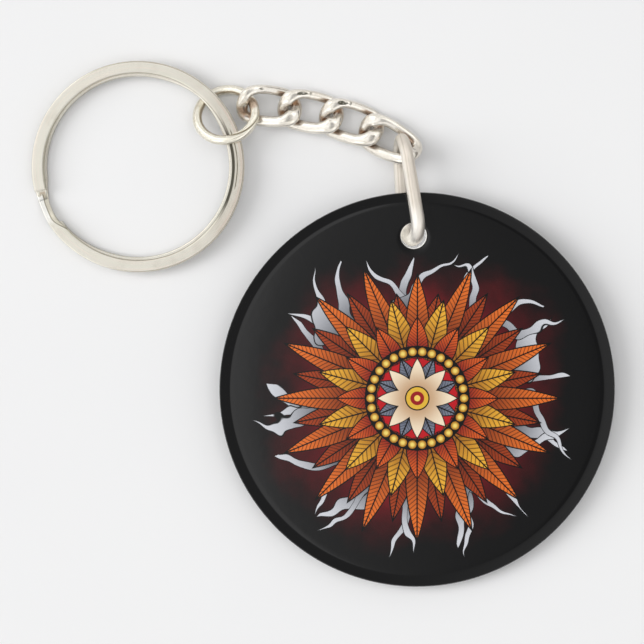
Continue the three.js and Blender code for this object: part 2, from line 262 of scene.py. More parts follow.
def disc_piece():
    """The disc: for each bearing, a profile from the hole's wall over the face, round the rim, back under
    and up through the hole. A profile point is (1 - v) of the hole's circle plus v of the rim's circle. The
    rim falls away at RIM_SLOPE, which sets in softly as log(1 + e^s), and ends in a quarter ellipse. The face
    drops by DOME / 2 times the square of the distance from the circle of radius DOME_START."""
    turns = 288
    bearing = np.arange(turns) / turns * 2 * np.pi
    circle = np.stack([np.cos(bearing), np.sin(bearing)], -1)

    roll = RIM_ROLL * np.sin(np.linspace(0, 1, 26) * np.pi / 2)
    roll_radius = DISC_RADIUS - RIM_ROLL + roll
    turned = np.clip((roll - RIM_ROLL + RIM_EDGE) / RIM_EDGE, 0, 1)
    roll_drop = RIM_SLOPE * RIM_ONSET * (np.logaddexp(0, roll / RIM_ONSET - 2) - np.logaddexp(0, -2))
    roll_drop = roll_drop + (RIM_DROP - roll_drop[-1]) * (1 - np.sqrt(np.clip(1 - turned**2, 0, 1)))
    lip_turn = np.linspace(0, np.pi / 2, 8)
    lip_radius = HOLE_RADIUS + HOLE_LIP * (1 - np.cos(lip_turn))
    lip_drop = HOLE_LIP * (1 - np.sin(lip_turn))

    def at_hole(radius, height):
        """A level circle round the hole's middle."""
        ring = HOLE_PLACE + radius * circle
        return np.concatenate([ring, np.full((turns, 1), height)], 1)

    def at_rim(radius, height):
        """A level circle round the disc's middle."""
        return np.concatenate([radius * circle, np.full((turns, 1), height)], 1)

    def between(share, height):
        """A level loop, that share of the way from the hole's lip to where the rim starts."""
        inside = at_hole(HOLE_RADIUS + HOLE_LIP, height)
        outside = at_rim(DISC_RADIUS - RIM_ROLL, height)
        return (1 - share) * inside + share * outside

    top = [at_hole(r, DISC_THICKNESS - d) for r, d in zip(lip_radius, lip_drop)]
    top += [between(s, DISC_THICKNESS) for s in (0.02, 0.06, 0.1, *np.linspace(0.15, 0.985, 22))]
    top += [at_rim(r, DISC_THICKNESS - d) for r, d in zip(roll_radius, roll_drop)]
    wall = [at_rim(DISC_RADIUS, z) for z in np.linspace(DISC_THICKNESS - RIM_DROP, RIM_DROP, 8)[1:-1]]
    under = [at_rim(r, d) for r, d in zip(roll_radius[::-1], roll_drop[::-1])]
    under += [between(s, 0) for s in (0.985, 0.95, 0.7, 0.3, 0.05)]
    under += [at_hole(r, d) for r, d in zip(lip_radius[::-1], lip_drop[::-1])]
    bore = [at_hole(HOLE_RADIUS, z) for z in np.linspace(HOLE_LIP, DISC_THICKNESS - HOLE_LIP, 6)[1:-1]]
    rows = top + wall + under + bore
    grid = np.array(rows)
    faced = len(top) + len(wall)
    past = np.clip(np.linalg.norm(grid[..., :2], axis=-1) - DOME_START, 0, None)
    grid[:faced, :, 2] -= DOME * past[:faced] ** 2 / 2
    made = piece(
        "disc",
        placed(grid.reshape(-1, 3), **DISC_PLACE),
        [quads(len(rows), turns, loop_rows=True)],
    )

    # The baked picture's layout: the face and the wall fill most of it, the back and the bore a corner
    front_middle, front_span, back_middle, back_span = 0.44, 66.0, 0.935, 450.0
    flat = grid[..., :2]
    out = np.linalg.norm(flat, axis=-1, keepdims=True)
    down = np.clip(DISC_THICKNESS - RIM_DROP - grid[..., 2:], 0, None)
    spread = 1 + np.where(out > DISC_RADIUS - 0.01, down, 0) / out
    front = front_middle + flat * spread / front_span
    back = back_middle + flat / back_span
    loops = np.empty(len(made.data.loops), np.int32)
    made.data.loops.foreach_get("vertex_index", loops)
    row = loops.reshape(-1, 4) // turns
    on_front = ((row.min(1) < faced) & (row.max(1) <= faced))[:, None, None]
    layout = np.where(
        on_front,
        front.reshape(-1, 2)[loops].reshape(-1, 4, 2),
        back.reshape(-1, 2)[loops].reshape(-1, 4, 2),
    )
    made.data.uv_layers.new(name="OFBake").data.foreach_set("uv", layout.astype(np.float32).ravel())
    return made


def connector_piece():
    """The connector: two straight strands joined by half circles, in a plane that leans
    CONNECTOR_LEAN - CONNECTOR_TWIST * x / CONNECTOR_LENGTH degrees, with round wire about it that is
    CONNECTOR_WIRE thick at the disc and thins smoothly to CONNECTOR_THIN_WIRE at the chain."""
    h = CONNECTOR_HALF_HEIGHT
    radius = CONNECTOR_WIRE / 2
    run = 2 * (CONNECTOR_LENGTH / 2 - radius - h)
    bend = np.pi * h
    whole = 2 * (bend + run)
    seam, bevel, slack = 0.03, 0.08, 0.02
    thin_from, thin_over = -5.5, 9
    shares = steps_with_ends(260, whole, bevel)
    travel = (CONNECTOR_SEAM + seam / 2 + shares * (whole - seam)) % whole
    place = [
        travel <= run / 2,
        travel <= run / 2 + bend,
        travel <= 1.5 * run + bend,
        travel <= 1.5 * run + 2 * bend,
    ]
    near, far = (travel - run / 2) / h, (travel - 1.5 * run - bend) / h
    x = np.select(
        place,
        [travel, run / 2 + h * np.sin(near), run + bend - travel, -run / 2 - h * np.sin(far)],
        travel - whole,
    )
    z = np.select(place, [-h + 0 * travel, -h * np.cos(near), h + 0 * travel, h * np.cos(far)], -h)
    lean = np.radians(CONNECTOR_LEAN - CONNECTOR_TWIST * x / CONNECTOR_LENGTH)
    path = np.stack([x, -z * np.sin(lean), z * np.cos(lean)], -1)
    side, up = oval(48)
    thin = smooth((x - thin_from) / thin_over) * (CONNECTOR_THIN_WIRE - CONNECTOR_WIRE) / 2 - slack
    scale = (end_scale(shares, whole, bevel, 0.92) * (radius + thin))[:, None]
    grid = carried(path, np.array([0.0, 1.0, 0.0]), side * scale, up * scale)
    along = x[:, None] / (CONNECTOR_LENGTH / 2)
    high = -np.sign(z)[:, None] * side
    return capped("connector", grid, CONNECTOR_PLACE, out=up, high=high, along=along)


def link_piece(name, length, place, seam_bearing, far, near, swells, taper):
    """A curb link: the first centreline is (a (cos t - f cos 3t) / (1 - f), b (sin t + f sin 3t) / (1 - f),
    -rise sin 2t). The wire about it is BOW_WIDTH wide at the bows; `far` and `near` are the widths of the
    strands on the +y and -y side and how far their outer edges stand out from the plain wire's. The wire
    swells inwards by `swells` at SWELL_PLACES, as cos^2 over SWELL_REACH to both sides. Its highest and
    lowest parts are pressed flat, softly above and more sharply below. Across, the link is 1 - taper x
    times as wide."""
    radius = LINK_WIRE / 2
    a, b, f = length / 2 - radius, LINK_WIDTH / 2 - radius, LINK_FULLNESS
    girth = np.pi * (a + b)
    seam, bevel, flattening = 0.03, 0.06, 0.05
    shares = steps_with_ends(240, girth, bevel)
    t = math.radians(seam_bearing) + 2 * np.pi * (seam / 2 / girth + shares * (1 - seam / girth))
    rise = LINK_RISE + LINK_LIFT
    path = np.stack(
        [
            a * (np.cos(t) - f * np.cos(3 * t)) / (1 - f),
            b * (np.sin(t) + f * np.sin(3 * t)) / (1 - f),
            -rise * np.sin(2 * t),
        ],
        -1,
    )
    path[:, 1] *= 1 - taper * path[:, 0]
    on_strand = smooth((np.abs(np.sin(t)) - 0.2) / 0.65)
    width, out = np.where(np.sin(t) > 0, np.array(far)[:, None], np.array(near)[:, None])
    half = (BOW_WIDTH + (width - BOW_WIDTH) * on_strand) / 2
    off_swell = (np.degrees(t)[:, None] - SWELL_PLACES + 180) % 360 - 180
    swell = np.cos(np.radians(np.clip(off_swell * 90 / SWELL_REACH, -90, 90))) ** 2
    half = half + swell @ np.array(swells) / 2
    shift = radius + out * on_strand - half
    side, up = oval(44, 2.15)
    scale = end_scale(shares, girth, bevel, 0.93)[:, None]
    wide = side * scale * half[:, None] + shift[:, None]
    tall = up * scale * (radius - flattening)
    grid = carried(path, np.array([0.0, 0.0, 1.0]), wide, tall)
    press = LINK_RISE + radius - 0.02
    grid[..., 2] = soft_cap(grid[..., 2], press + 0.08, 0.12)
    grid[..., 2] = -soft_cap(-grid[..., 2], press, 0.03)
    return capped(name, grid, place, turn=np.degrees(t)[:, None] % 360, out=side, high=up)


def jump_piece():
    """The jump ring: a circle of round wire whose ends are cut so aslant that they lie side by side,
    the start inside and the end outside, each growing from nothing to the whole wire."""
    radius = JUMP_WIRE / 2
    hoop = JUMP_DIAMETER / 2 - radius
    start, end = JUMP_SEAM, JUMP_SEAM + 360 + JUMP_LAP
    degrees = np.linspace(start, end, 300)
    inner = np.clip((degrees - start) / JUMP_LAP, 0.02, 1)
    outer = np.clip((end - degrees) / JUMP_LAP, 0.02, 1)
    width = np.minimum(inner, outer)
    shift = radius * ((inner - 1) * (degrees < start + 180) + (1 - outer) * (degrees > start + 180))
    turn = np.radians(degrees)
    path = np.stack([(hoop + shift) * np.cos(turn), (hoop + shift) * np.sin(turn), 0 * turn], -1)
    side, up = oval(40)
    narrow = (radius * width - 0.02 * (width < 1))[:, None]
    tall = (radius * width**0.35)[:, None]
    grid = carried(path, np.array([0.0, 0.0, 1.0]), side * narrow, up * tall)
    return capped("jump", grid, JUMP_PLACE, out=side, high=up)


def key_ring_piece():
    """The split ring: a strip that runs one turn low, then one turn high, each on its own ellipse
    c + (a cos t, b sin t), with the low turn drifting to the high turn's ellipse at its two ends and halfway
    to it near the jump ring. On the step between the turns it rises by its own thickness, leans
    STEP_LEAN degrees about its own path, outer edge up, and loses STEP_NECK of its width from the inner
    edge. Its corners are quarter circles."""
    hoop = LOW_TURN[1].mean()
    end_gap, bevel = 0.25, 0.16
    end_turn = math.degrees(end_gap / hoop)
    first, last = RISE_END - 360, UPPER_END + 360 - end_turn
    length = math.radians(last - first) * hoop
    shares = steps_with_ends(1000, length, bevel)
    degrees = first + shares * (last - first)
    rise = smooth((degrees - UPPER_END) / (RISE_END - end_turn - UPPER_END))
    lean = math.radians(STEP_LEAN) * smooth((degrees - 195.2) / 4) * (1 - smooth((degrees - 204) / 11))
    neck = 1 - STEP_NECK * smooth((degrees - 194) / 9) * (1 - smooth((degrees - 212) / 9))
    turn = np.radians(degrees)[:, None]
    drift = 1 - smooth((degrees - first) / 42) + smooth((degrees - 186) / 9)
    drift = drift + 0.5 * np.exp(-(((degrees - 50) / 16) ** 2))
    centre, radii = (LOW_TURN[k] + drift[:, None] * (HIGH_TURN[k] - LOW_TURN[k]) for k in (0, 1))
    flat = centre + radii * np.concatenate([np.cos(turn), np.sin(turn)], 1)
    half_width, half_thick = STRIP_WIDTH / 2, STRIP_THICKNESS / 2
    height = half_thick + rise * (STRIP_THICKNESS + TURN_GAP)
    height = np.maximum(height, half_width * np.sin(lean) + half_thick * np.cos(lean))
    path = np.concatenate([flat, height[:, None]], 1)

    arc = np.linspace(0, np.pi / 2, 7)
    outer, inner = 0.14, 0.2
    corners = []
    for corner, x_sign, y_sign in ((outer, 1, 1), (inner, -1, 1), (inner, -1, -1), (outer, 1, -1)):
        points = [half_width - corner * (1 - np.cos(arc)), half_thick - corner * (1 - np.sin(arc))]
        corners.append(np.stack(points, -1)[:: x_sign * y_sign] * [x_sign, y_sign])
    level = np.linspace(0, 1, 10)[1:-1, None]
    top = corners[0][-1] + level * (corners[1][0] - corners[0][-1])
    under = corners[2][-1] + level * (corners[3][0] - corners[2][-1])
    section = np.concatenate([corners[0], top, corners[1], corners[2], under, corners[3]])
    scale = end_scale(shares, length, bevel, 0.8)[:, None]
    side = (section[:, 0] * neck[:, None] + half_width * (1 - neck[:, None])) * scale
    up = section[:, 1] * scale
    c, s = np.cos(lean)[:, None], np.sin(lean)[:, None]
    grid = carried(path, np.array([0.0, 0.0, 1.0]), side * c - up * s, side * s + up * c)
    traits = dict(along=degrees[:, None], out=section[:, 0] / half_width, high=section[:, 1] / half_thick)
    return capped("key_ring", grid, KEY_RING_PLACE, **traits)


# Materials


class Value:
    """A socket that can be used in sums: each operator adds a Math node to its tree."""

    def __init__(self, finish, socket):
        self.finish, self.socket = finish, socket

    def maths(self, operation, *others):
        """A Math node on this value and the others."""
        inputs = dict(enumerate([self, *others]))
        return self.finish.node("ShaderNodeMath", {"operation": operation}, inputs)

    def __add__(self, other):
        return self.maths("ADD", other)

    __radd__ = __add__

    def __sub__(self, other):
        return self.maths("SUBTRACT", other)

    def __rsub__(self, other):
        return self.finish.number(other).maths("SUBTRACT", self)

    def __mul__(self, other):
        return self.maths("MULTIPLY", other)

    __rmul__ = __mul__

    def __truediv__(self, other):
        return self.maths("DIVIDE", other)

    def __pow__(self, other):
        return self.maths("POWER", other)

    def __abs__(self):
        return self.maths("ABSOLUTE")

    def least(self, other):
        """The smaller of the two."""
        return self.maths("MINIMUM", other)

    def most(self, other):
        """The larger of the two."""
        return self.maths("MAXIMUM", other)

    def sine(self):
        """The sine of an angle in radians."""
        return self.maths("SINE")

    def part(self):
        """What is left over a whole number."""
        return self.maths("FRACT")

    def step(self, low, high):
        """0 below low, 1 above high, smooth between; high may be the smaller."""
        return self.finish.node(
            "ShaderNodeMapRange",
            {"interpolation_type": "SMOOTHSTEP"},
            {"Value": self, "From Min": low, "From Max": high, "To Min": 0.0, "To Max": 1.0},
        )


class Finish:
    """A material under construction."""

    def __init__(self, name, tree=None):
        if tree is None:
            self.material = bpy.data.materials.new(name)
            self.material.use_nodes = True
            tree = self.material.node_tree
        self.tree = tree
        self.shader = tree.nodes.get("Principled BSDF")

    def put(self, socket, value):
        """Sets a socket to a number, a colour or another node's value."""
        if isinstance(value, Value):
            self.tree.links.new(value.socket, socket)
        elif hasattr(socket.default_value, "__len__") and len(socket.default_value) == 4 and len(value) == 3:
            socket.default_value = (*value, 1.0)
        else:
            socket.default_value = value

    def node(self, kind, settings, inputs, out=0):
        """A new node with its settings and inputs, as the value of one of its outputs."""
        made = self.tree.nodes.new(kind)
        for key, value in settings.items():
            setattr(made, key, value)
        for key, value in inputs.items():
            self.put(made.inputs[key], value)
        return Value(self, made.outputs[out])

    def number(self, value):
        """A number as a value, for the left side of a sum: 0 plus it, on a Math node's own sockets."""
        return self.node("ShaderNodeMath", {"operation": "ADD"}, {0: value, 1: 0.0})

    def mix(self, share, low, high):
        """The colour low where share is 0 and high where it is 1."""
        return self.node(
            "ShaderNodeMix", {"data_type": "RGBA", "clamp_factor": True}, {0: share, 6: low, 7: high}, out=2
        )

    def noise(self, where, scale, detail, rough):
        """Soft noise about 0.5."""
        return self.node(
            "ShaderNodeTexNoise",
            {"noise_dimensions": "3D"},
            {"Vector": where, "Scale": scale, "Detail": detail, "Roughness": rough},
        )

    def where(self):
        """The place on the piece, in metres."""
        return self.node("ShaderNodeTexCoord", {}, {}, out="Object")

    def bump(self, height, distance, strength):
        """Fine relief in the shading alone."""
        normal = self.node(
            "ShaderNodeBump", {}, {"Height": height, "Distance": distance, "Strength": strength}
        )
        self.put(self.shader.inputs["Normal"], normal)

    def set(self, **values):
        """Sets inputs of the shader by name, with _ for each space."""
        for key, value in values.items():
            self.put(self.shader.inputs[key.replace("_", " ")], value)


def shown(red, green, blue):
    """A colour picked as screen values of 0 to 255, as the shader's own linear numbers."""
    values = np.array([red, green, blue]) / 255
    linear = np.where(values <= 0.04045, values / 12.92, ((values + 0.055) / 1.055) ** 2.4)
    return tuple(float(v) for v in linear)


class Plating(Finish):
    """Nickel plate: a pale warm silver with a fine grain, over which a piece lays its own stains, painted
    shade and painted highlights.
    """

    def __init__(self, name, roughness, pale, dull=(214, 207, 193)):
        super().__init__(name)
        self.place = self.where()
        self.cloud = self.noise(self.place, 330.0, 3.0, 0.6)
        self.grain = self.noise(self.place, 5200.0, 3.0, 0.7)
        self.colour = self.mix(self.cloud.step(0.45, 0.75) * 0.6, shown(*pale), shown(*dull))
        self.rough = self.cloud * 0.08 + self.grain * 0.08 + (roughness - 0.08)

    def trait(self, name):
        """A number that the piece's shape keeps for each of its points."""
        return self.node("ShaderNodeAttribute", {"attribute_name": name}, {}, out="Fac")

    def stain_or_painted_light(self, share, ink):
        """Lays an ink over the colours so far, as strongly as share says: a stain, or painted shade or a
        painted highlight.
        """
        self.colour = self.mix(share, self.colour, shown(*ink))

    def done(self, grain, metal=1.0):
        """Hands the material over, with its grain as a faint bump."""
        self.set(Base_Color=self.colour, Roughness=self.rough, Metallic=metal)
        self.bump(self.grain, 0.000006, grain)
        return self.material


def hump(value, low, high, edge):
    """1 between low and high, falling smoothly to 0 over `edge` on both sides."""
    return value.step(low - edge, low) * value.step(high + edge, high)


def key_ring_finish():
    """The split ring's plate: faint lengthwise bands and streaks, painted shade lines along both corners,
    painted dark shade between the turns on the right strand, and a painted highlight and painted shade on the
    step."""
    f = Plating("rubbed_and_shaded_nickel", 0.26, pale=(225, 221, 210), dull=(212, 205, 192))
    along, out, high = f.trait("along"), f.trait("out"), f.trait("high")
    facing = high.step(0.5, 0.9)
    turn = along * (math.pi / 180)
    east, north = (turn + math.pi / 2).sine(), turn.sine()
    upper = along.step(205.0, 212.0)
    wander = f.noise(f.place, 260.0, 2.0, 0.5) - 0.5
    bands = f.node(
        "ShaderNodeCombineXYZ", {}, {"X": along * 0.02, "Y": out * 4.0, "Z": upper * 3.0}
    )
    band = f.noise(bands, 1.0, 2.0, 0.5)
    f.stain_or_painted_light(band.step(0.48, 0.7) * 0.55, (232, 221, 208))
    f.stain_or_painted_light(band.step(0.46, 0.3) * 0.5, (222, 221, 203))
    scratch = f.node("ShaderNodeCombineXYZ", {}, {"X": along * 0.12, "Y": out * 15.0, "Z": upper * 5.0})
    streak = f.noise(scratch, 1.0, 3.0, 0.65)
    right = hump(along, 326.0, 395.0, 16.0)
    f.stain_or_painted_light(facing * right * (streak.step(0.5, 0.68) * 0.4 + 0.18), (172, 165, 148))
    f.stain_or_painted_light(facing * right * (1.0 - streak.step(0.4, 0.55)) * 0.25, (206, 192, 178))

    # Painted shade: lines along the corners of the upper turn, and dark shade between the turns on the right
    # strand. Then a thin broken dark line and a pinkish band on the right strand's face
    outer_shade_line = hump(out + wander * 0.1, 0.8, 0.9, 0.07) * east.step(-0.45, 0.15).most(north.step(0.8, 1.0))
    f.stain_or_painted_light(upper * facing * outer_shade_line * 0.42, (128, 119, 98))
    inner_shade_line = (out + wander * 0.12).step(-0.8, -0.9)
    # The painted shade on the inner corner is stronger on the left and at the bottom
    tone = 0.5 - north * 0.1 - east * 0.12
    f.stain_or_painted_light(upper * high.step(-0.2, 0.3) * inner_shade_line * tone, (120, 112, 84))
    # Painted dark shade between the turns on the right strand: on the upper turn's inner corner and on the
    # lower turn's top next to it
    dark = hump(along + wander * 14.0, 342.0, 376.0, 20.0)
    groove_shade = (out + wander * 0.1).step(-0.44, -0.6)
    f.stain_or_painted_light(upper * groove_shade * dark * 0.92, (54, 52, 39))
    beside_shade = hump(along + wander * 14.0 + 360.0, 342.0, 376.0, 20.0) * (out + wander * 0.1).step(-0.52, -0.4)
    f.stain_or_painted_light((1.0 - upper) * beside_shade * 0.9, (70, 68, 52))
    # A thin broken dark line along the right strand's face
    thin_dark_line = hump(out + wander * 0.16, -0.18, -0.08, 0.06) * hump(along, 349.0, 380.0, 3.0)
    f.stain_or_painted_light(upper * facing * thin_dark_line * streak.step(0.3, 0.45) * 0.85, (104, 96, 78))
    f.stain_or_painted_light(upper * facing * hump(out, 0.42, 0.62, 0.16) * right * 0.35, (214, 190, 176))

    # Painted shade on the lower turn's inner edge, stronger on the left, and on its top where the upper one
    # shades it
    low_edge_shade = (out + wander * 0.1).step(-0.78, -0.9) * (1.0 - upper)
    f.stain_or_painted_light(low_edge_shade * east.step(0.3, -0.5) * 0.5, (120, 120, 106))
    under_step_shade = hump(along, 195.0, 198.2, 0.9) * hump(out + wander * 0.2, -0.45, 0.3, 0.2) * facing
    f.stain_or_painted_light(under_step_shade * 0.6, (160, 140, 112))

    # On the step, a painted highlight on the outer half and painted shade on the inner half short of its
    # edge, parted by a painted dark line along its middle that then runs aslant to the inner edge
    sheen_split = out + (along - 212.0).most(0.0) * 0.09
    step = facing * hump(along, 197.5, 221.0, 2.0)
    f.stain_or_painted_light(step * sheen_split.step(0.0, 0.1) * along.step(215.0, 210.0) * 0.85, (247, 246, 241))
    f.stain_or_painted_light(step * sheen_split.step(-0.02, -0.14) * out.step(-0.95, -0.7) * 0.6, (196, 190, 172))
    f.stain_or_painted_light(step * hump(sheen_split + wander * 0.05, -0.1, 0.0, 0.08) * 0.75, (112, 106, 86))
    f.rough = f.cloud * 0.05 + (1.0 - band) * 0.04 + 0.2
    return f.done(0.04)


def link_finish(name, marks, ends):
    """A link's plate: brown painted shade in the bend where the wire dives under its neighbour and along the
    inside of the strands, a painted dark line along the wire's inner edge, and dents. A mark is (turn, out,
    half turn, half out, strength), and `ends` says how strong that painted shade is at the left and right
    bow."""
    f = Plating(name, 0.16, pale=(225, 220, 211), dull=(209, 202, 189))
    turn, out, high = f.trait("turn"), f.trait("out"), f.trait("high")
    wander = f.noise(f.place, 900.0, 2.0, 0.5) - 0.5
    fine = f.noise(f.place, 2600.0, 3.0, 0.6)
    top = high.step(-0.35, 0.1)
    near_bow = abs(abs(turn - 180.0) - 90.0).step(40.0, 78.0)
    f.stain_or_painted_light(top * near_bow * (wander + 0.5).step(0.35, 0.6) * 0.35, (202, 192, 178))
    f.stain_or_painted_light(hump(out + wander * 0.3, 0.3, 0.7, 0.2) * high.step(0.2, 0.6) * 0.3, (206, 198, 184))
    half_turn = (turn / 180.0).part() * 180.0
    # Painted brown shade in the bend where the wire dives under its neighbour, darkest at its inner side
    crook_shade = hump(half_turn + wander * 16.0, 8.0, 36.0, 12.0) * (out + wander).step(1.25, 0.1)
    crook_shade = crook_shade * (turn.step(120.0, 140.0) * (ends[0] - ends[1]) + ends[1])
    f.stain_or_painted_light(top * crook_shade * 0.9, (150, 108, 72))
    f.stain_or_painted_light(top * crook_shade * (out + wander * 0.5).step(-0.4, -0.8) * 0.75, (92, 64, 42))
    # Painted brown shade along the inside of the strands
    inside = hump(half_turn + wander * 10.0, 52.0, 72.0, 14.0) * hump(out + wander * 0.4, -0.8, -0.05, 0.25)
    f.stain_or_painted_light(top * inside * 0.8, (140, 108, 82))
    # Painted shade: a dark line along the wire's inner edge
    lip = (out + wander * 0.25).step(-0.72, -0.9) * high.step(0.1, 0.45)
    f.stain_or_painted_light(lip * 0.45, (128, 112, 88))
    f.stain_or_painted_light(top * hump(out + wander * 0.3, -0.62, -0.52, 0.1) * fine.step(0.45, 0.6) * 0.4, (160, 152, 130))
    dent = f.number(0.0)
    for at, side, half_at, half_side, strength in marks:
        across = (turn + wander * 10.0 - at) / half_at
        off = (out + wander * 0.2 - side) / half_side
        spot = (across * across + off * off).step(1.1, 0.55) * top
        dent = dent.most(spot * strength)
    f.stain_or_painted_light(dent * fine.step(0.3, 0.5), (74, 72, 60))
    f.rough = f.rough + dent * 0.25
    return f.done(0.4, 0.84)


def jump_finish():
    """The jump ring's plate: greyer and speckled, with brown painted shade round the point where link 1 lies
    over it and a painted shade line along the inside of the wire."""
    f = Plating("jump_nickel", 0.22, pale=(226, 221, 207))
    out, high = f.trait("out"), f.trait("high")
    wander = f.noise(f.place, 700.0, 2.0, 0.5) - 0.5
    fine = f.noise(f.place, 2400.0, 3.0, 0.65)
    f.stain_or_painted_light(fine.step(0.52, 0.68) * 0.35, (186, 176, 156))
    # Painted brown shade round the point where link 1 lies over the jump ring
    shade_spot_distance = f.node("ShaderNodeVectorMath", {"operation": "DISTANCE"}, {0: f.place, 1: JUMP_SHADE_SPOT}, out="Value")
    f.stain_or_painted_light((shade_spot_distance + wander * 0.0004).step(0.0011, 0.0006) * high.step(-0.4, 0.0) * 0.6, (168, 134, 108))
    # Painted shade: a dark line along the inside of the wire
    f.stain_or_painted_light(hump(out + wander * 0.3, -0.9, -0.72, 0.12) * high.step(-0.2, 0.2) * 0.65, (142, 122, 94))
    return f.done(0.4, 0.84)


def connector_finish():
    """The connector's plate: duller and beige, with painted light at the disc end, a painted pale reflection
    along its lower left side, and a thin shaded line along its left third."""
    f = Plating("connector_nickel", 0.4, pale=(209, 201, 190), dull=(199, 191, 179))
    out, high, along = f.trait("out"), f.trait("high"), f.trait("along")
    wander = f.noise(f.place, 500.0, 2.0, 0.5) - 0.5
    fine = f.noise(f.place, 2400.0, 3.0, 0.65)
    f.stain_or_painted_light(fine.step(0.55, 0.7) * 0.2, (186, 176, 160))
    f.stain_or_painted_light(high.step(0.3, -0.3) * fine.step(0.4, 0.6) * 0.7, (120, 112, 88))
    f.stain_or_painted_light(hump(out + wander * 0.1, 0.34, 0.4, 0.1) * high.step(0.2, 0.5) * 0.35, (120, 110, 94))
    # Painted pale reflection along the wire's lower left side
    f.stain_or_painted_light(out.step(0.5, 0.75) * high.step(-0.6, -0.3) * 0.7, (238, 233, 224))
    f.stain_or_painted_light(hump(out + wander * 0.1, -0.75, -0.35, 0.2) * high.step(0.0, 0.4) * 0.4, (188, 180, 168))
    # Painted light at the disc end, lightest on the left
    f.stain_or_painted_light(along.step(-0.2, -0.55) * (0.35 + out.step(-0.3, 0.4) * 0.4), (236, 233, 226))
    return f.done(0.3, 0.8)


def disc_finish():
    """Black acrylic, with a rosette printed on the face: tiers of leaves and petals round a point
    PRINT_SHIFT below the disc's middle, each a half width as a function of the share of its length."""
    f = Finish("printed_acrylic")
    place = f.node(
        "ShaderNodeMapping",
        {"vector_type": "TEXTURE"},
        {
            "Vector": f.where(),
            "Location": tuple(v * MM for v in DISC_PLACE["move"]),
            "Rotation": (math.radians(DISC_PLACE["turns"][0][1]), 0.0, 0.0),
            "Scale": (MM, MM, MM),
        },
    )
    x = f.node("ShaderNodeSeparateXYZ", {}, {"Vector": place}, out="X")
    y = f.node("ShaderNodeSeparateXYZ", {}, {"Vector": place}, out="Y") + PRINT_SHIFT
    z = f.node("ShaderNodeSeparateXYZ", {}, {"Vector": place}, out="Z")
    radius = (x * x + y * y) ** 0.5
    turn = y.maths("ARCTAN2", x) / (2 * math.pi)
    black = shown(9, 9, 10)

    def fold(count, phase=0.0):
        """The distance across a leaf's middle line, in millimetres, when `count` of them stand round."""
        return ((turn * count + phase + 0.5).part() - 0.5) * radius * (2 * math.pi / count)

    def leaf(colour, across, start, end, width, inks, line=0.16, bend=0.0, veins=0.0):
        """Lays one tier of leaves over the colours below: half width = 2.6 width sqrt(s) (1 - s), with a
        dark outline, and barbs that run forwards from a dark middle line."""
        share = ((radius - start) / (end - start)).most(0.0).least(1.0)
        off = abs(across - share * share * bend)
        inside = share**0.5 * (1 - share) * (2.6 * width) - off
        root, tip = inks
        body = f.mix(share.step(0.15, 0.85), root, tip)
        if veins:
            barbs = (radius * veins - off * (veins * 0.9)).part()
            body = f.mix(barbs.step(0.62, 0.9) * 0.75, body, black)
            body = f.mix(off.step(0.13, 0.05), body, black)
        body = f.mix(inside.step(line, line + 0.07), black, body)
        return f.mix(inside.step(0.0, 0.06), colour, body)

    fog = f.noise(place, 0.16, 3.0, 0.55)
    drift = f.noise(place, 0.11, 2.0, 0.5) - 0.5
    gap = (y / radius).step(0.9, 0.985) * 2.6
    glow = (radius + fog * 9.0 + gap).step(25.5, 12.0)
    colour = f.mix(glow, black, shown(112, 14, 24))
    colour = f.mix((radius + fog * 7.0).step(18.0, 8.0), colour, shown(186, 20, 30))

    # Pale smoke that curls outwards between the leaves
    smoke = (shown(58, 60, 70), shown(206, 208, 214))
    colour = leaf(colour, fold(13, 0.2) + drift * 9.0, 9.0, 21.6 - gap, 0.8, smoke, bend=-6.0, line=0.1)
    colour = leaf(colour, fold(9, 0.6) + drift * 12.0, 8.0, 20.6 - gap, 1.0, smoke, bend=5.5, line=0.12)
    colour = leaf(colour, fold(7, 0.1) - drift * 14.0, 8.0, 22.2 - gap, 0.9, smoke, bend=-8.0, line=0.12)

    # Long leaves in two layers, then shorter ones with golden scales
    rust = (shown(78, 24, 14), shown(160, 62, 24))
    orange = (shown(122, 46, 20), shown(226, 112, 40))
    gold = (shown(150, 88, 24), shown(232, 172, 54))
    ember = (shown(128, 20, 22), shown(214, 92, 34))
    colour = leaf(colour, fold(16, 0.5), 6.0, 16.4 - gap, 1.7, rust, veins=2.0)
    colour = leaf(colour, fold(16), 6.0, 18.8 - gap, 1.6, orange, veins=1.7)
    colour = leaf(colour, fold(12, 0.5), 5.0, 13.2, 1.75, gold, veins=1.4)
    colour = leaf(colour, fold(12), 5.0, 10.6, 1.5, ember, veins=2.4)

    # A band of beads
    band_radius = 6.0
    colour = f.mix(abs(radius - band_radius).step(0.78, 0.72), colour, black)
    bead_across = fold(30)
    bead = ((radius - band_radius) ** 2 + bead_across * bead_across) ** 0.5
    bead_colour = f.mix(bead.step(0.1, 0.5), shown(240, 214, 110), shown(176, 120, 30))
    colour = f.mix(bead.step(0.56, 0.5), colour, bead_colour)

    # Pale petals over slate ones, and a golden middle
    slate = (shown(60, 64, 78), shown(120, 126, 142))
    cream = (shown(196, 160, 124), shown(240, 222, 194))
    colour = leaf(colour, fold(8, 0.5), 1.0, 5.6, 1.3, slate, veins=2.4)
    colour = leaf(colour, fold(8), 0.6, 5.3, 1.2, cream, line=0.14)
    colour = f.mix(radius.step(1.62, 1.55), colour, black)
    colour = f.mix(radius.step(1.45, 1.38), colour, shown(222, 178, 58))
    colour = f.mix(radius.step(0.92, 0.85), colour, shown(150, 24, 26))
    colour = f.mix(radius.step(0.42, 0.36), colour, shown(240, 206, 96))

    on_face = z.step(DISC_THICKNESS - 0.12, DISC_THICKNESS - 0.06)
    smudge = f.noise(place, 0.5, 4.0, 0.6)

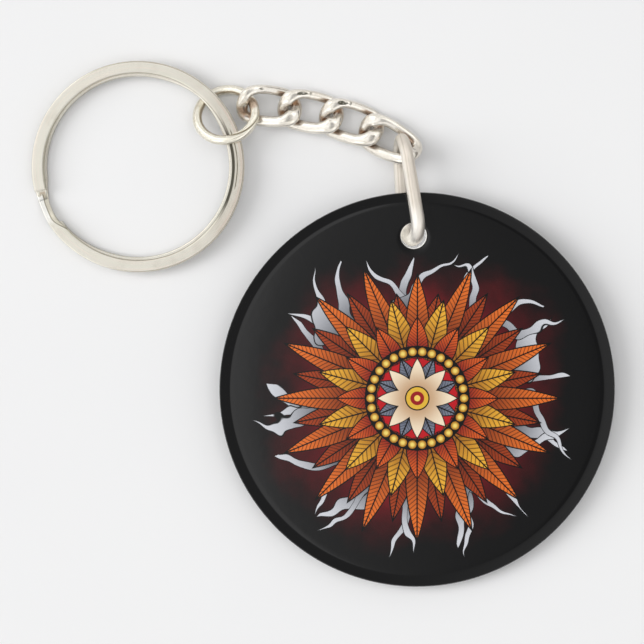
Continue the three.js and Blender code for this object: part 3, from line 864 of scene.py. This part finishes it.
    # The hole's wall and the underside round it give off light, which stands in for clear acrylic
    hole_x, hole_y = x - float(HOLE_PLACE[0]), y - float(HOLE_PLACE[1] + PRINT_SHIFT)
    hole_off = hole_x * hole_x + hole_y * hole_y
    wall = hole_off.step((HOLE_RADIUS + 0.05) ** 2, (HOLE_RADIUS + 0.005) ** 2)
    near_hole = hole_off.step((HOLE_RADIUS + 2.0) ** 2, (HOLE_RADIUS + 1.4) ** 2)
    below = near_hole * z.step(0.3, 0.1)
    wall = wall.most(below)
    frost = f.noise(place, 3.0, 3.0, 0.7).step(0.2, 0.8)
    clear = f.mix(below, f.mix(frost, shown(160, 159, 156), shown(216, 215, 212)), (1.0, 1.0, 1.0))
    f.set(
        Base_Color=f.mix(wall, f.mix(on_face, black, colour), clear),
        Emission_Color=f.mix(wall, (0.0, 0.0, 0.0), clear),
        Emission_Strength=CLEAR_GLOW,
        Roughness=smudge * 0.04 + 0.06,
        IOR=1.49,
        Metallic=0.0,
    )
    f.bump(f.noise(place, 0.9, 2.0, 0.5), 0.00002, 0.1)
    return f.material


def floor_finish():
    """A plain pale tabletop."""
    f = Finish("pale_floor")
    tone = f.noise(f.where(), 30.0, 2.0, 0.5)
    f.set(
        Base_Color=f.mix(tone, shown(235, 235, 236), shown(238, 238, 238)),
        Roughness=0.7,
        Specular_IOR_Level=0.2,
    )
    return f.material


# The pieces in their places


def finish_piece(made, material, node):
    """Gives a piece its material and its place in the frame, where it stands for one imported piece."""
    made.data.materials.append(material)
    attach(made, "root")
    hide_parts(node)
    return made


disc = finish_piece(disc_piece(), disc_finish(), "acrylic_disc")
connector = finish_piece(connector_piece(), connector_finish(), "connector_ring")
link_forms = zip(LINK_LENGTHS, LINK_PLACES, LINK_SEAMS, LINK_FAR, LINK_NEAR, LINK_SWELLS, LINK_TAPERS)
links = []
for i, form in enumerate(link_forms):
    link = link_piece(f"link_{i + 1}", *form)
    plate = link_finish(f"link_nickel_{i + 1}", LINK_MARKS[i], LINK_CROOK_SHADES[i])
    links.append(finish_piece(link, plate, f"chain_link_{i + 1}"))
jump = finish_piece(jump_piece(), jump_finish(), "jump_ring")
key_ring = finish_piece(key_ring_piece(), key_ring_finish(), "split_ring")

# Floor, lights and camera


def card(name, bearing, height, distance, size, radiance, aims=(), seen=True):
    """A rectangular soft light that faces the object from a bearing and a height in degrees. Radiance is
    its brightness per area. `aims` are the only pieces that it lights, and `seen` lets gloss mirror it."""
    data = bpy.data.lights.new(name, "AREA")
    data.shape = "RECTANGLE"
    data.size, data.size_y = size
    data.energy = radiance * math.pi * size[0] * size[1]
    made = bpy.data.objects.new(name, data)
    bpy.context.collection.objects.link(made)
    h, b = math.radians(height), math.radians(bearing)
    made.location = (
        distance * math.cos(h) * math.cos(b),
        distance * math.cos(h) * math.sin(b),
        distance * math.sin(h),
    )
    made.rotation_euler = (math.pi / 2 - h, 0.0, b + math.pi / 2)
    made.visible_glossy = seen
    if aims:
        lit = bpy.data.collections.new(name + "_aims")
        for aim in aims:
            lit.objects.link(aim)
        made.light_linking.receiver_collection = lit
    return made


reach = 6.0
floor = piece(
    "floor",
    [(-reach, -reach, 0.0), (reach, -reach, 0.0), (reach, reach, 0.0), (-reach, reach, 0.0)],
    [np.array([[0, 1, 2, 3]])],
    smooth=False,
)
floor.data.materials.append(floor_finish())

# Two lights from the left and one overhead for everything, and five that light only the metal
metal = [connector, jump, key_ring, *links]
card("key", 174.0, 47.0, 3.0, (1.5, 1.5), 5.3, seen=False)
card("low_key", 178.0, 24.0, 3.0, (1.6, 1.0), 3.2, seen=False)
card("fill", 0.0, 90.0, 3.0, (3.6, 3.6), 0.9, seen=False)
card("tent_above", 0.0, 90.0, 1.2, (1.6, 1.6), 0.14, aims=[connector, jump, *links])
card("tent_left", 180.0, 36.0, 1.2, (2.4, 1.8), 0.9, aims=metal)
card("tent_right", 0.0, 40.0, 1.2, (2.0, 1.0), 0.45, aims=metal)
card("tent_far", 90.0, 36.0, 1.2, (2.4, 1.8), 0.6, aims=metal)
card("tent_near", 270.0, 36.0, 1.2, (2.4, 1.8), 0.55, aims=metal)

# The sky: overhead it is bright on the left and dims in steps towards the right. Round about it is dim
# on the left and brighter on the right, and low down on the right it is tinted dark brown
world = bpy.data.worlds.new("studio")
bpy.context.scene.world = world
world.use_nodes = True
sky = Finish(world.name, world.node_tree)
towards = sky.node("ShaderNodeTexCoord", {}, {}, out="Generated")
across = sky.node("ShaderNodeSeparateXYZ", {}, {"Vector": towards}, out="X")
high = sky.node("ShaderNodeSeparateXYZ", {}, {"Vector": towards}, out="Z")
ahead = sky.node("ShaderNodeSeparateXYZ", {}, {"Vector": towards}, out="Y")
overhead = high.step(0.93, 0.965)
slope = across.step(-0.014, -0.002) * 0.08 + across.step(0.098, 0.11) * 0.12 + across.step(-0.01, 0.07) * 0.22
belt = high.step(0.05, 0.3).most(across.step(0.4, -0.1) * 0.85)
around_sky = 0.28 + across.step(-0.2, 0.7) * 0.35
light = overhead * (1.03 - across.step(-0.04, -0.022) * 0.44 - slope) + (1.0 - overhead) * around_sky
tint = sky.mix(belt, (0.09, 0.075, 0.06), (1.0, 1.0, 1.0))
ground = sky.tree.nodes["Background"]
sky.put(ground.inputs["Color"], tint)
sky.put(ground.inputs["Strength"], light)

# The camera looks straight down
camera = bpy.data.objects.new("camera", bpy.data.cameras.new("camera"))
bpy.context.collection.objects.link(camera)
camera.location = (-0.000068, 0.000237, 0.4025)
camera.data.lens = 173.6
camera.data.sensor_width = 36.0
camera.data.clip_start, camera.data.clip_end = 0.01, 10.0
bpy.context.scene.camera = camera
bpy.context.scene.view_settings.view_transform = "Standard"
